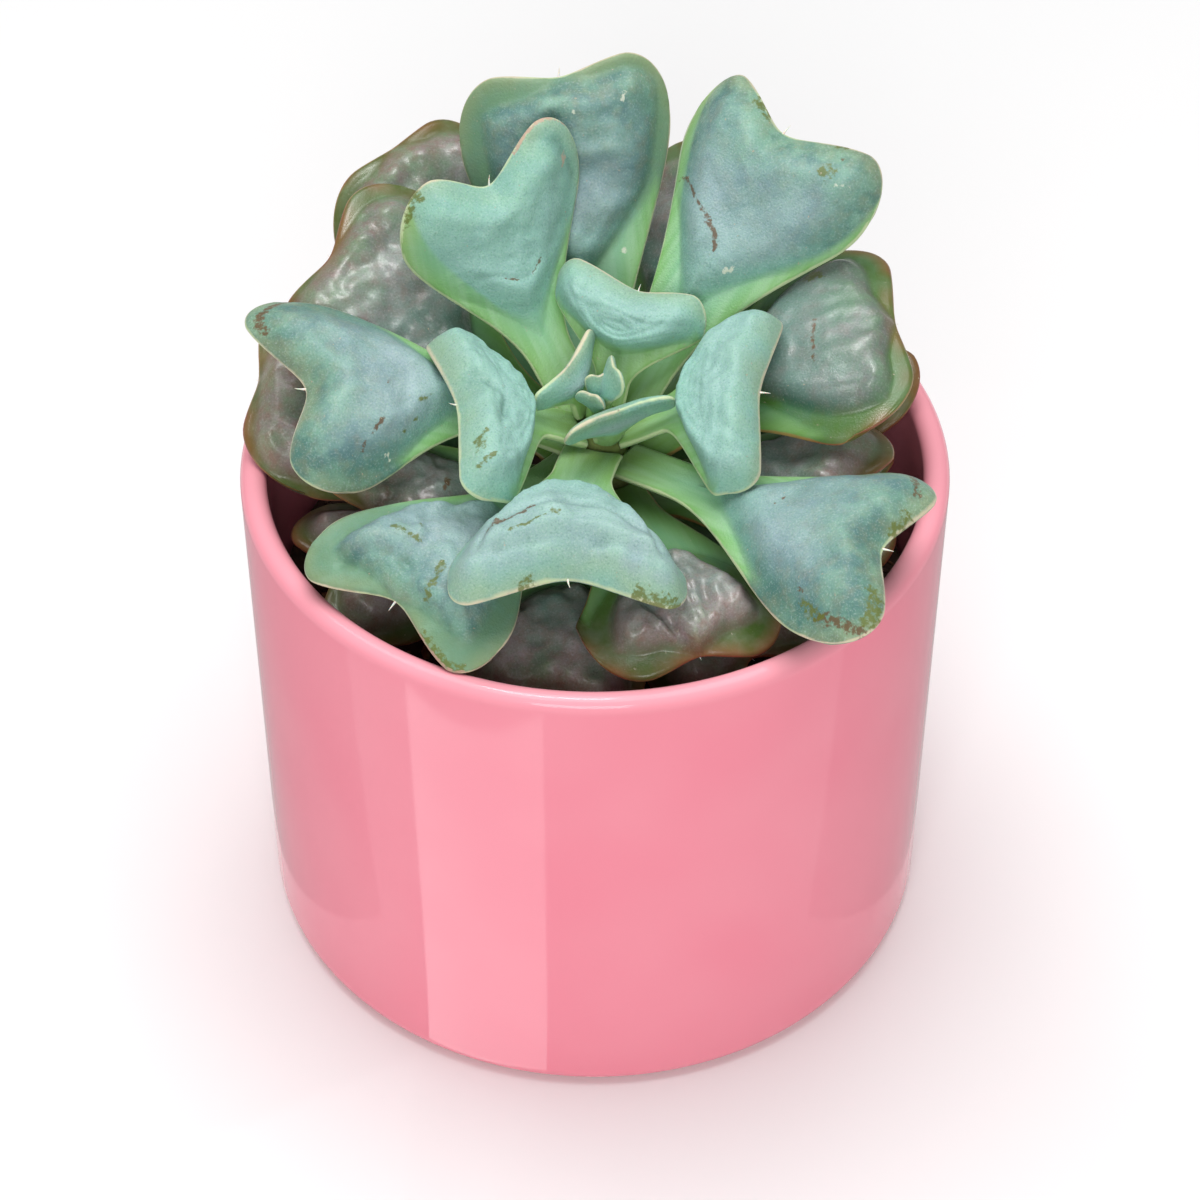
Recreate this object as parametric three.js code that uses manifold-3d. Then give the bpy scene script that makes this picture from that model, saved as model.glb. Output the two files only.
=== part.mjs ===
// A blue heart echeveria in a plain glazed cylinder pot, in millimetres, +Z up.
// The origin is the middle of the pot's foot, on the surface that it stands on, and the front faces -Y.
// The plant is a golden-angle rosette: each fleshy leaf is its own solid, set round a short thick stem.
import * as THREE from "three";
import { mergeVertices } from "three/addons/utils/BufferGeometryUtils.js";
import Module from "manifold-3d";

const wasm = await Module();
wasm.setup();

const rad = THREE.MathUtils.degToRad;
const { smoothstep, lerp, clamp } = THREE.MathUtils;

// Pot: a cylinder with a slight draft, a full round lip and a small rounded foot.
const potHeight = 96;
const rimRadius = 60;
const footRadius = 59;
const potWall = 4.5;
const footRound = 4;
const potFloor = 6;
const floorRound = 5;
const potSides = 48;

// Soil: a low mound that fills the pot to well below the rim and holds the root crown.
const soilEdgeHeight = 66;
const soilCrownHeight = 67.6;
const seatGap = 0.3; // clearance between pieces that touch

// Stem: the radius at each height, from the root crown in the soil to the growing tip.
const stemProfile = [
  [44, 6.5],
  [48, 8.5],
  [64, 8.5],
  [78, 7],
  [92, 5.4],
  [102, 4],
  [108, 2.4],
];

// Rosette: each leaf stands one golden angle round from the last and one step down the stem.
const goldenAngle = 137.5;
const firstAzimuth = 161;
const rootHeightOf = (n) => 107.5 - 0.45 * n - 0.04 * n * n; // crowded at the growing tip, wider apart below

// The rosette leans towards the light: its frame is tipped about the root crown.
const lean = 13;
const crown = [0.8, 6, 66];

const leafEdge = 1.0; // thickness at the margin

// What a leaf has unless its row says otherwise, in millimetres and degrees.
const usual = {
  azimuth: 0, // turn away from the golden-angle place
  rise: 45, // slope of the midrib at the stem
  droop: 0, // slope of the midrib at the notch
  firm: 0.4, // how far the slope at the stem carries on, as a share of the chord
  curl: 0.36, // how far back the slope at the notch is felt
  sway: 0, // sideways bend of the tip, left as seen from the stem
  roll: 0, // turn of the blade about its midrib
  halfWidth: 17,
  base: 5.5, // half width at the stem
  notch: 4.5, // depth of the notch behind the lobes' tips
  bay: 0.25, // how round the notch is
  skew: 0, // where the notch stands across the blade, from -1 to 1
  slant: 0, // how far the left lobe stands ahead of the right one
  lobe: 0.5, // where the lobes' tips stand, from the notch at 0 to the side at 1
  neck: 0.08, // where the strap begins to widen, along the leaf
  full: 0.96, // where it has its whole width
  turnIn: 0, // how far the sides turn in again at the tip
  pillow: 3, // height of the raised mound on the blade
  start: 0.36, // where the mound begins along the leaf
  heel: 0, // how round the mound's lower end is
  border: 0, // bare flange between the mound and the margin
  flareLeft: 0, // how much wider the flange gets at the left lobe
  flareRight: 0, // and at the right one
  soft: 7, // width of the mound's slope
  dome: 3, // how far the margins curve down at the blade
  channel: 2, // how far the margins curve up at the strap
  keel: 1.6, // how far the underside swells at the strap
};

// One row for each leaf, youngest first: reach and height place its notch, from the axis and over the table.
const leaves = [
  { azimuth: -12, reach: 6.2, height: 117.9, rise: 75, droop: 75, roll: -2, halfWidth: 9, base: 2.2, notch: 1, lobe: 0.8, channel: 1, pillow: 1.2, dome: 1, keel: 1, neck: 0.3 },
  { azimuth: -3, reach: 6.9, height: 118.7, rise: 66, droop: 75, roll: -2, halfWidth: 10, base: 2.8, notch: 1, lobe: 0.8, channel: 1, pillow: 1.2, dome: 1.5, keel: 1, neck: 0.15 },
  { azimuth: -5.5, reach: 18.2, height: 120.5, rise: 43, droop: 40, roll: -3, halfWidth: 13.3, base: 3, notch: 2, lobe: 0.75, soft: 5, pillow: 3.2, dome: 2, skew: -0.1, neck: 0.2, full: 0.88, sway: 1, channel: 1.2, start: 0.46, heel: 1, slant: 1.8 },
  { azimuth: -12, reach: 24.5, height: 122, rise: 39, droop: 28, slant: 2, halfWidth: 18.5, base: 3.8, notch: 1.5, lobe: 0.8, start: 0.46, soft: 4, pillow: 4.5, neck: 0.34, full: 0.86, roll: 3.5, heel: 1, sway: -1.5 },
  { azimuth: -0.5, reach: 26.5, height: 121, rise: 38, droop: 15, halfWidth: 17.5, base: 3.8, notch: 1.5, lobe: 0.8, start: 0.47, soft: 4, pillow: 4.5, neck: 0.34, full: 0.84, roll: 3.2, channel: 1.4, heel: 1 },
  { azimuth: -4, reach: 36, height: 130.8, rise: 19, droop: 65, sway: -2.5, slant: -3.8, halfWidth: 17.4, notch: 6, lobe: 0.6, roll: -8, dome: 1.5, base: 4.2, neck: 0.26, full: 1.02, heel: 0.7, pillow: 3.5, turnIn: 0.8 },
  { azimuth: -10, reach: 41, height: 121, rise: 30, droop: 15, sway: 5, roll: 2, halfWidth: 19, notch: 4, lobe: 0.8, start: 0.5, soft: 3.8, pillow: 5, base: 5, neck: 0.25, full: 0.95, heel: 1 },
  { azimuth: 9.4, reach: 50.5, height: 133, rise: 30, droop: 40, halfWidth: 24, notch: 4.5, skew: 0.1, base: 5, neck: 0.17, heel: 0.2, pillow: 3.5, full: 1.3, slant: -0.5, lobe: 0.72, sway: -2, turnIn: 2.4 },
  { azimuth: -6, reach: 47.9, height: 118.4, rise: 30, droop: 10, sway: 6, slant: -3.5, roll: -9, halfWidth: 17.5, notch: 6, lobe: 0.7, base: 4.6, heel: 0.5, pillow: 4, neck: 0.3 },
  { azimuth: -3.6, reach: 56.5, height: 121, rise: 30, droop: 25, sway: 7, slant: -3, roll: 4, halfWidth: 20.2, lobe: 0.65, neck: 0.28, full: 1.08, heel: 0.4, pillow: 4, turnIn: 1.2, base: 4 },
  { azimuth: 0.5, reach: 51.8, height: 134.6, rise: 4, droop: 50, slant: -1.5, roll: -5, halfWidth: 18, notch: 1.8, lobe: 0.6, heel: 0.3, sway: 1, border: 1.5, flareLeft: 5, flareRight: 0.5, soft: 4.5 },
  { azimuth: -4, reach: 50.5, height: 110.7, rise: 12.5, droop: -15, roll: 0, halfWidth: 18.5, lobe: 0.75, border: 1.5, soft: 4, dome: 1.5, neck: 0.32, heel: 0.8, pillow: 3.5, slant: -1, flareLeft: 4, flareRight: 4.5 },
  { azimuth: 4, reach: 50.9, height: 117.6, rise: 30, droop: 5, roll: -3, halfWidth: 19, lobe: 0.56, border: 2.5, soft: 4, neck: 0.2, full: 0.88, heel: 0.6, sway: 1, flareLeft: 2, flareRight: 2.5, notch: 1.2, slant: 3.3, skew: -0.1 },
  { azimuth: 0, reach: 53.5, height: 115.6, rise: 20, droop: 20, roll: -14, halfWidth: 20, border: 0.5, soft: 4, neck: 0.2, heel: 0.6, flareLeft: 0.5, flareRight: 3.5, notch: 2.2, slant: -2.5 },
  { azimuth: 3.5, reach: 48, height: 105, rise: 26, droop: -15, halfWidth: 16.8, border: 2.5, soft: 3.5, neck: 0.2, heel: 0.8, flareLeft: 4, flareRight: 3, notch: 1.7, start: 0.45, slant: 1.1 },
  { azimuth: 0, reach: 53, height: 112, rise: 18, droop: 30, halfWidth: 17, heel: 0.6, border: 1.5, flareLeft: 2, flareRight: 2 },
  { azimuth: 2, reach: 41, height: 101.8, rise: 20, droop: 0, halfWidth: 16, border: 2, soft: 4, roll: -8, heel: 0.8 },
  { azimuth: 6, reach: 44, height: 104, rise: 22, droop: 5, halfWidth: 16, border: 2, soft: 4, heel: 0.6 },
  { azimuth: 8, reach: 64, height: 114, rise: 16, droop: 30, halfWidth: 17.5, border: 1.5, soft: 4, heel: 0.6, notch: 0.4, lobe: 0.42, flareLeft: 2, flareRight: 2, slant: -2 },
  { azimuth: 6, reach: 46, height: 93, rise: 18, droop: -15, halfWidth: 15, border: 2, soft: 4, heel: 0.8 },
  { azimuth: -3.5, reach: 52, height: 99, rise: 15, droop: 20, halfWidth: 16, border: 2, soft: 4, heel: 0.6 },
  { azimuth: 0, reach: 59, height: 102.4, rise: 12, droop: 10, halfWidth: 17, border: 1, soft: 4, roll: -8, heel: 0.6, flareLeft: 1, flareRight: 1, notch: 1.2, dome: 2, slant: -1.8 },
  { azimuth: 0, reach: 43, height: 88, rise: 12, droop: 5, halfWidth: 15.5, border: 2, soft: 4, heel: 0.6 },
  { azimuth: 10, reach: 54, height: 92, rise: 10, droop: 20, halfWidth: 17, border: 2, soft: 4, heel: 0.6 },
  { azimuth: -20, reach: 48, height: 88, rise: 12, droop: 10, halfWidth: 15.5, border: 2, soft: 4, heel: 0.6 },
  { azimuth: 0, reach: 46, height: 86.5, rise: 14, droop: 10, halfWidth: 16, border: 2, soft: 4, heel: 0.6 },
];

// The leaves of the growing tip, oldest first.
const youngest = [
  { azimuth: -11, reach: 2.6, height: 119.5, rise: 80, droop: 80, sway: 1.6, halfWidth: 4, notch: 0.5, channel: 0.3, pillow: 0.6, dome: 0.8, keel: 0.6 },
  { azimuth: 0, reach: 2.8, height: 118, rise: 82, droop: 84, sway: -0.4, halfWidth: 2.6, notch: 0.5, channel: 0.3, pillow: 0.6, dome: 0.8, keel: 0.6 },
  { azimuth: 0, reach: 1.8, height: 117, rise: 82, droop: 84, sway: -0.5, halfWidth: 2.2, notch: 0.4, channel: 0.3, pillow: 0.6, dome: 0.6, keel: 0.6 },
];

function stemRadiusAt(height) {
  const above = stemProfile.findIndex(([z]) => z >= height);
  if (above < 1) return stemProfile.at(above)[1];
  const [z0, r0] = stemProfile[above - 1];
  const [z1, r1] = stemProfile[above];
  return lerp(r0, r1, (height - z0) / (z1 - z0));
}

// The height of a leaf's mound as a share, 0 outside its outline and 1 well inside it.
function pillowShare(s, t, width, length, leaf) {
  const opening = smoothstep(s, leaf.start - 0.08, leaf.start + 0.36);
  const belowRound = Math.max(0, (leaf.start + 0.3 - s) / 0.3);
  const open = lerp(opening - Math.abs(t), 1 - Math.hypot(t, belowRound), leaf.heel);
  const aside = Math.abs(t - leaf.skew);
  const flare = (t > leaf.skew ? leaf.flareLeft : leaf.flareRight) * Math.min(1, aside * 1.2) * s ** 3;
  const fromSide = open * width - leaf.border - flare * 0.7;
  const fromTip = (1 - s) * length - leaf.border * Math.min(1, aside * 3) - flare;
  const edge = (distance, soft) => Math.sin(clamp(distance / soft, 0, 1) * Math.PI / 2);
  return edge(fromSide, leaf.soft) * edge(fromTip, leaf.soft * 0.8);
}

// How far the tip margin stands behind the lobes' tips: a notch, and round shoulders outside it.
function tipSetback(t, leaf) {
  const { lobe, bay } = leaf;
  const u = Math.abs(t - leaf.skew) / (t > leaf.skew ? 1 - leaf.skew : 1 + leaf.skew);
  const away = (Math.hypot(u / lobe, bay) - bay) / (Math.hypot(1, bay) - bay);
  if (u < lobe) return leaf.notch * (1 - away) ** 1.5;
  const shoulder = (u - lobe) / (1 - lobe);
  return leaf.halfWidth * 1.4 * (1 - lobe) * (1 - Math.sqrt(Math.max(0, 1 - shoulder * shoulder)));
}

// One leaf as a closed grid: an upper face, a lower face and the thin margin between them.
function leafGeometry(row, rootHeight, azimuth, rows, columns, rootRadius = stemRadiusAt(rootHeight - 2.5) + seatGap) {
  const leaf = { ...usual, ...row };
  const root = new THREE.Vector2(rootRadius, rootHeight);
  const tip = new THREE.Vector2(leaf.reach, leaf.height);
  const chord = root.distanceTo(tip);
  const slopeVector = (degrees) => new THREE.Vector2(Math.cos(rad(degrees)), Math.sin(rad(degrees)));
  const midrib = new THREE.CubicBezierCurve(
    root,
    root.clone().addScaledVector(slopeVector(leaf.rise), chord * leaf.firm),
    tip.clone().addScaledVector(slopeVector(leaf.droop), -chord * leaf.curl),
    tip,
  );
  const length = midrib.getLength();
  const outward = new THREE.Vector3(Math.cos(rad(azimuth)), Math.sin(rad(azimuth)), 0);
  const leftward = new THREE.Vector3(-outward.y, outward.x, 0);
  const upward = new THREE.Vector3(0, 0, 1);

  const upper = [];
  const lower = [];
  for (let i = 0; i <= rows; i++) {
    const s = 1 - (1 - i / rows) ** 1.2;
    const p = midrib.getPointAt(s);
    const slope = i === 0 ? new THREE.Vector2(1, 0) : midrib.getTangentAt(s);
    const centre = outward.clone().multiplyScalar(p.x).addScaledVector(upward, p.y)
      .addScaledVector(leftward, leaf.sway * s * s);
    const along = outward.clone().multiplyScalar(slope.x).addScaledVector(upward, slope.y)
      .addScaledVector(leftward, (2 * leaf.sway * s) / length).normalize();
    const across = leftward.clone().addScaledVector(along, -leftward.dot(along)).normalize()
      .applyAxisAngle(along, rad(leaf.roll * s));
    const normal = along.clone().cross(across).normalize();

    const width = lerp(leaf.base, leaf.halfWidth, smoothstep(s, leaf.neck, leaf.full))
      - leaf.turnIn * Math.max(0, (s - 0.8) / 0.2) ** 2;
    const bow = lerp(leaf.channel, -leaf.dome, smoothstep(s, 0.25, 0.85)) * Math.min(1, width / leaf.halfWidth + 0.2);
    const rim = Math.sqrt(Math.min(1, ((1 - s) * length) / 4));
    const keel = lerp(leaf.keel, 0.8, s) * rim;
    for (let j = 0; j <= columns; j++) {
      const even = (j / columns) * 2 - 1;
      const t = Math.sin(even * 1.35) / Math.sin(1.35);
      const setback = tipSetback(t, leaf) - leaf.notch - leaf.slant * t;
      const middle = centre.clone()
        .addScaledVector(across, width * t)
        .addScaledVector(along, -setback * s ** 3)
        .addScaledVector(normal, bow * t * t);
      const body = 1 - t ** 4;
      const over = leafEdge / 2 + body * rim * 0.6 + leaf.pillow * pillowShare(s, t, width, length, leaf);
      const under = leafEdge / 2 + (1 - t * t) * keel;
      upper.push(middle.clone().addScaledVector(normal, over));
      lower.push(middle.clone().addScaledVector(normal, -under));
    }
  }
  return closedGrid(upper, lower, rows, columns);
}

// Joins two grids of points, one over the other, into one closed surface that faces outwards.
function closedGrid(upper, lower, rows, columns) {
  const count = upper.length;
  const points = [...upper, ...lower].flatMap((p) => [p.x, p.y, p.z]);
  const faces = [];
  const at = (i, j) => i * (columns + 1) + j;
  for (let i = 0; i < rows; i++) {
    for (let j = 0; j < columns; j++) {
      const [a, b, c, d] = [at(i, j), at(i + 1, j), at(i + 1, j + 1), at(i, j + 1)];
      faces.push(a, b, c, a, c, d);
      faces.push(count + a, count + c, count + b, count + a, count + d, count + c);
    }
  }
  const rim = [];
  for (let j = 0; j < columns; j++) rim.push(at(0, j));
  for (let i = 0; i < rows; i++) rim.push(at(i, columns));
  for (let j = columns; j > 0; j--) rim.push(at(rows, j));
  for (let i = rows; i > 0; i--) rim.push(at(i, 0));
  rim.forEach((a, k) => {
    const b = rim[(k + 1) % rim.length];
    faces.push(a, b, count + b, a, count + b, count + a);
  });
  const geometry = new THREE.BufferGeometry();
  geometry.setAttribute("position", new THREE.Float32BufferAttribute(points, 3));
  geometry.setIndex(faces);
  return geometry;
}

// The pot, the soil and the stem are turned about the Z axis from a profile of [radius, height] points.
function turned(profile, sides) {
  const geometry = new THREE.LatheGeometry(profile.map(([r, z]) => new THREE.Vector2(r, z)), sides);
  return geometry.rotateX(Math.PI / 2);
}

// Points on an arc in the profile's plane, from one angle to another in degrees.
function arc(r, z, radius, from, to, steps) {
  return Array.from({ length: steps + 1 }, (_, k) => {
    const angle = rad(lerp(from, to, k / steps));
    return [r + radius * Math.cos(angle), z + radius * Math.sin(angle)];
  });
}

function potGeometry() {
  const lip = potWall / 2;
  const bore = footRadius - potWall;
  return turned([
    [0, 0],
    ...arc(footRadius - footRound, footRound, footRound, -90, 0, 4),
    ...arc(rimRadius - lip, potHeight - lip, lip, 0, 180, 8),
    ...arc(bore - floorRound, potFloor + floorRound, floorRound, 0, -90, 3),
    [0, potFloor],
  ], potSides);
}

function soilGeometry() {
  const bore = footRadius - potWall - seatGap;
  const bottom = potFloor + seatGap;
  const mound = turned([
    [0, bottom],
    ...arc(bore - floorRound, bottom + floorRound, floorRound, -90, 0, 3),
    [bore, soilEdgeHeight],
    [bore * 0.6, lerp(soilEdgeHeight, soilCrownHeight, 0.7)],
    [bore * 0.2, soilCrownHeight],
    [0, soilCrownHeight],
  ], potSides);
  return toGeometry(toSolid(mound).subtract(toSolid(stemGeometry(seatGap))));
}

// The stem, or the room that it takes up with a clearance round it.
function stemGeometry(clearance) {
  const [[foot]] = stemProfile;
  const [top] = stemProfile.at(-1);
  const sides = stemProfile.map(([z, r]) => [r + clearance, z === foot ? z - clearance : z]);
  return tipped(turned([[0, foot - clearance], ...sides, [0, top + 1]], 20));
}

// The youngest leaves stand close together on the growing tip and make one piece with it.
function growingTipGeometry() {
  const [top, radius] = stemProfile.at(-1);
  const core = turned([[0, top + 1.4], [radius, top + 0.6], [radius * 0.7, top + 4], [0, top + 5.5]], 12);
  const buds = youngest.map((bud, n) => {
    const azimuth = firstAzimuth - goldenAngle * (n + 1) + bud.azimuth;
    return leafGeometry({ ...bud, base: 1.3 }, top + 2.2, azimuth, 6, 6, 0.6);
  });
  const solid = [core, ...buds].map(toSolid).reduce((whole, piece) => whole.add(piece));
  return tipped(toGeometry(solid));
}

// A closed geometry as a solid, and back.
function toSolid(geometry) {
  const bare = new THREE.BufferGeometry().setIndex(geometry.index);
  bare.setAttribute("position", geometry.getAttribute("position"));
  const merged = mergeVertices(bare, 1e-4);
  return new wasm.Manifold(new wasm.Mesh({
    numProp: 3,
    vertProperties: new Float32Array(merged.attributes.position.array),
    triVerts: new Uint32Array(merged.index.array),
  }));
}

function toGeometry(solid) {
  const mesh = solid.getMesh();
  const geometry = new THREE.BufferGeometry();
  geometry.setAttribute("position", new THREE.Float32BufferAttribute(mesh.vertProperties, 3));
  return geometry.setIndex(Array.from(mesh.triVerts));
}

// Moves a piece of the rosette from its own upright frame to its place in the pot.
function tipped(geometry) {
  const [x, y, z] = crown;
  return geometry.translate(0, 0, -z).rotateX(rad(lean)).translate(x, y, z);
}

const plant = new THREE.Group();

function add(name, geometry, color, roughness) {
  const mesh = new THREE.Mesh(geometry, new THREE.MeshStandardMaterial({ color, roughness, metalness: 0 }));
  mesh.name = name;
  plant.add(mesh);
}

add("pot", potGeometry(), 0xf49bae, 0.2);
add("soil", soilGeometry(), 0x3a2a20, 0.95);
add("stem", stemGeometry(0), 0x8a9a58, 0.7);
add("growing_tip", growingTipGeometry(), 0x9cc4a4, 0.5);

leaves.forEach((leaf, n) => {
  const azimuth = firstAzimuth + goldenAngle * n + leaf.azimuth;
  const [rows, columns] = n < 15 ? [12, 10] : [10, 8]; // the low leaves are mostly hidden
  const blade = leafGeometry(leaf, rootHeightOf(n), azimuth, rows, columns);
  add(`leaf_${String(n + 1).padStart(2, "0")}`, tipped(blade), 0x8fb9ae, 0.55);
});

export default plant;
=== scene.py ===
import math
from functools import partial

import bpy
import numpy as np
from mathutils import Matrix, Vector


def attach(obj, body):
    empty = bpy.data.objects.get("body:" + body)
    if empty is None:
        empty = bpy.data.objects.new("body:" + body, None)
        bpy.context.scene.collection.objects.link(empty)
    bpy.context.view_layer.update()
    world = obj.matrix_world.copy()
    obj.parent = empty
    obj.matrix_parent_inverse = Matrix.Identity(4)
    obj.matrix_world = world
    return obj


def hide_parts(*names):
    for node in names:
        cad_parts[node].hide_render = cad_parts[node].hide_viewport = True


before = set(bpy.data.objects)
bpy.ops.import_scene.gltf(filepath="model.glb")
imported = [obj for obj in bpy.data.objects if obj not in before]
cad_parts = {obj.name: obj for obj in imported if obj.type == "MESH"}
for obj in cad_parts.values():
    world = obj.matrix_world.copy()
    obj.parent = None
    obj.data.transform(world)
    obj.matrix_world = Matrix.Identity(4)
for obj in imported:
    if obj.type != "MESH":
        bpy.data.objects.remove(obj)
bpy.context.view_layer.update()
scene = bpy.context.scene
mm = 0.001

# ---- camera, light and floor ----

view = {
    "target": (0.0, 0.0, 61.6),  # mm, on the pot's axis
    "distance": 657.8,  # mm
    "elevation": 43.8,
    "lens": 112.5,
    "sensor": 36,
    "shift": 0.0042,
}

studio = {
    "air": 0.3,  # strength of the white surroundings
    "floor": {"color": "f3f3f3", "half": 6},  # m
    "aim": (0, 0, 0.08),
    "overhead": {"place": (-0.04, 0.15, 1.2), "size": (1.0, 1.0), "power": 12.5},
    "front": {"place": (-0.08, -1.2, 0.8), "size": (0.6, 0.5), "power": 7.5},
    # Only gloss picks up these cards, in mm: grey flags at both sides, a small lamp overhead and a bright
    # card on the floor left in front of the pot.
    "flags": {"outline": [(62, -50), (170, -50), (170, 130), (62, 130)], "height": 0.5, "strength": 0.55},
    "spark": {"outline": [(-95, -20), (15, -20), (15, 70), (-95, 70)], "height": 500, "strength": 20},
    "card": {"outline": [(-31, -52), (-9, -60), (-37, -156), (-120, -97)], "height": 0.5, "strength": 3.4},
}


def hexColor(text):  # sRGB hex to the linear RGBA that Blender mixes in
    parts = [int(text[i:i + 2], 16) / 255 for i in (0, 2, 4)]
    return (*[p / 12.92 if p <= 0.04045 else ((p + 0.055) / 1.055) ** 2.4 for p in parts], 1.0)


# An input is a value, a socket, or a node whose first output it reads.
def addNode(tree, kind, inputs=None, **settings):
    node = tree.nodes.new(kind)
    for name, value in settings.items():
        setattr(node, name, value)
    for key, value in (inputs or {}).items():
        named = (s for s in node.inputs if s.enabled and s.name == key)
        socket = node.inputs[key] if isinstance(key, int) else next(named)
        if isinstance(value, bpy.types.Node):
            value = next(s for s in value.outputs if s.enabled)
        if isinstance(value, bpy.types.NodeSocket):
            tree.links.new(value, socket)
        else:
            socket.default_value = value
    return node


def newMaterial(name):  # a material with no nodes yet, and what adds them
    material = bpy.data.materials.new(name)
    material.use_nodes = True
    material.node_tree.nodes.clear()
    return material, partial(addNode, material.node_tree)


# Lays coats of colour. Each coat is the colour it makes, the one below, the one above, what the upper one's share is
# read from, from where to where, the share's least and greatest value, and what multiplies it.
def layCoats(add, tint, coats):
    for result, below, above, source, start, end, least, most, *factors in coats:
        share = add("ShaderNodeMapRange", {
            "Value": source, "From Min": start, "From Max": end, "To Min": least, "To Max": most})
        for factor in factors:
            share = add("ShaderNodeMath", {0: share, 1: factor}, operation="MULTIPLY")
        tint[result] = add("ShaderNodeMix", {
            "Factor": share, "A": tint[below], "B": tint[above]}, data_type="RGBA")


def newPiece(name, mesh):
    piece = bpy.data.objects.new(name, mesh)
    scene.collection.objects.link(piece)
    return piece


def aimAt(thing, place, target):
    thing.location = place
    thing.rotation_euler = (Vector(target) - Vector(place)).to_track_quat("-Z", "Y").to_euler()


def makeCamera():
    lens = bpy.data.cameras.new("camera")
    lens.lens = view["lens"]
    lens.sensor_width = view["sensor"]
    lens.shift_x = view["shift"]
    lens.clip_start = 0.01
    target = Vector(view["target"]) * mm
    tilt = math.radians(view["elevation"])
    back = Vector((0, -math.cos(tilt), math.sin(tilt))) * view["distance"] * mm
    scene.camera = newPiece("camera", lens)
    aimAt(scene.camera, target + back, target)


def flatSheet(name, corners, material):
    mesh = bpy.data.meshes.new(name)
    mesh.from_pydata(corners, [], [(0, 1, 2, 3)])
    mesh.materials.append(material)
    sheet = newPiece(name, mesh)
    return sheet


def makeStudio():
    world = bpy.data.worlds.new("studioAir")
    world.use_nodes = True
    air = world.node_tree.nodes["Background"]
    air.inputs["Color"].default_value = hexColor("ffffff")
    air.inputs["Strength"].default_value = studio["air"]
    scene.world = world
    for name in ("overhead", "front"):
        spec = studio[name]
        lamp = bpy.data.lights.new(name, "AREA")
        lamp.shape = "RECTANGLE"
        lamp.size, lamp.size_y = spec["size"]
        lamp.energy = spec["power"]
        aimAt(newPiece(name, lamp), spec["place"], studio["aim"])

    half = studio["floor"]["half"]
    paper, add = newMaterial("floorPaper")  # plain matt white paper
    matt = add("ShaderNodeBsdfPrincipled", {
        "Base Color": hexColor(studio["floor"]["color"]), "Roughness": 0.9, "Specular IOR Level": 0.1})
    add("ShaderNodeOutputMaterial", {"Surface": matt})
    flatSheet("floor", [(-half, -half, 0), (half, -half, 0), (half, half, 0), (-half, half, 0)], paper)

    for name, side in (("card", 1), ("spark", 1), ("flags", 1), ("flags", -1)):
        spec = studio[name]
        glow, add = newMaterial(name + "Glow")
        light = add("ShaderNodeEmission", {"Strength": spec["strength"]})
        add("ShaderNodeOutputMaterial", {"Surface": light})
        corners = [(side * x * mm, y * mm, spec["height"] * mm) for x, y in spec["outline"]]
        card = flatSheet(name, corners, glow)
        card.visible_camera = card.visible_diffuse = card.visible_shadow = False


makeCamera()
makeStudio()
scene.view_settings.view_transform = "Standard"
print("camera and studio")

# ---- shared shape code, in millimetres ----


def softStep(x, low, high):
    x = np.clip((x - low) / (high - low), 0, 1)
    return x * x * (3 - 2 * x)


def between(a, b, share):
    return a + (b - a) * share


# Smooth noise from about -1 to 1, with swellings of that size. The large factors only mix the cells' numbers.
def softNoise(points, size, seed):
    place = points / size + seed * 17.31
    cell = np.floor(place).astype(np.int64)
    part = place - cell
    fade = part ** 3 * (part * (part * 6 - 15) + 10)
    total = np.zeros(points.shape[:-1])
    for corner in range(8):
        step = np.array([corner & 1, corner >> 1 & 1, corner >> 2 & 1])
        k = cell + step
        mixed = (k[..., 0] * 73856093) ^ (k[..., 1] * 19349663) ^ (k[..., 2] * 83492791)
        pull = 0
        for axis in range(3):
            mixed = (mixed ^ (mixed >> 13)) * 1274126177 & 0x7FFFFFFF
            pull = pull + ((mixed >> 8) % 4096 / 2047.5 - 1) * (part[..., axis] - step[axis])
        total += pull * np.prod(np.where(step, fade, 1 - fade), axis=-1)
    return total * 1.5


def meshPiece(name, points, faces, material, attributes=None):
    mesh = bpy.data.meshes.new(name)
    mesh.from_pydata([tuple(p) for p in points * mm], [], faces)
    mesh.materials.append(material)
    for key, values in (attributes or {}).items():
        layer = mesh.attributes.new(key, "FLOAT", "POINT")
        layer.data.foreach_set("value", values.astype(np.float32))
    mesh.polygons.foreach_set("use_smooth", [True] * len(mesh.polygons))
    mesh.update()
    return newPiece(name, mesh)


def plainMesh(piece):  # a piece's modifiers, made into its own mesh
    graph = bpy.context.evaluated_depsgraph_get()
    mesh = bpy.data.meshes.new_from_object(piece.evaluated_get(graph))
    piece.modifiers.clear()
    piece.data = mesh
    return mesh


def settle(piece, slot, *nodes):
    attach(piece, "root")
    if nodes:
        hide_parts(*nodes)


rosette = {
    "goldenAngle": 137.5,
    "firstAzimuth": 161,
    "lean": 13,  # towards the front, about the crown
    "crown": (0.8, 6, 66),
    "stem": [(44, 6.5), (48, 8.5), (64, 8.5), (78, 7), (92, 5.4), (102, 4), (108, 2.4)],  # height, radius
    "roots": (107.5, 0.45, 0.04),  # the youngest leaf's height, then what leaf n drops by n and by n squared
    "seatBelow": 2.5,  # the strap leaves the stem at the radius that it has this much lower
    "seatGap": 0.3,
}


def tipped(points):  # from the rosette's upright frame to its place in the pot
    x, y, z = rosette["crown"]
    tilt = math.radians(rosette["lean"])
    c, s = math.cos(tilt), math.sin(tilt)
    px, py, pz = points[..., 0], points[..., 1], points[..., 2] - z
    return np.stack([px + x, py * c - pz * s + y, py * s + pz * c + z], axis=-1)


# ---- pot ----

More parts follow.
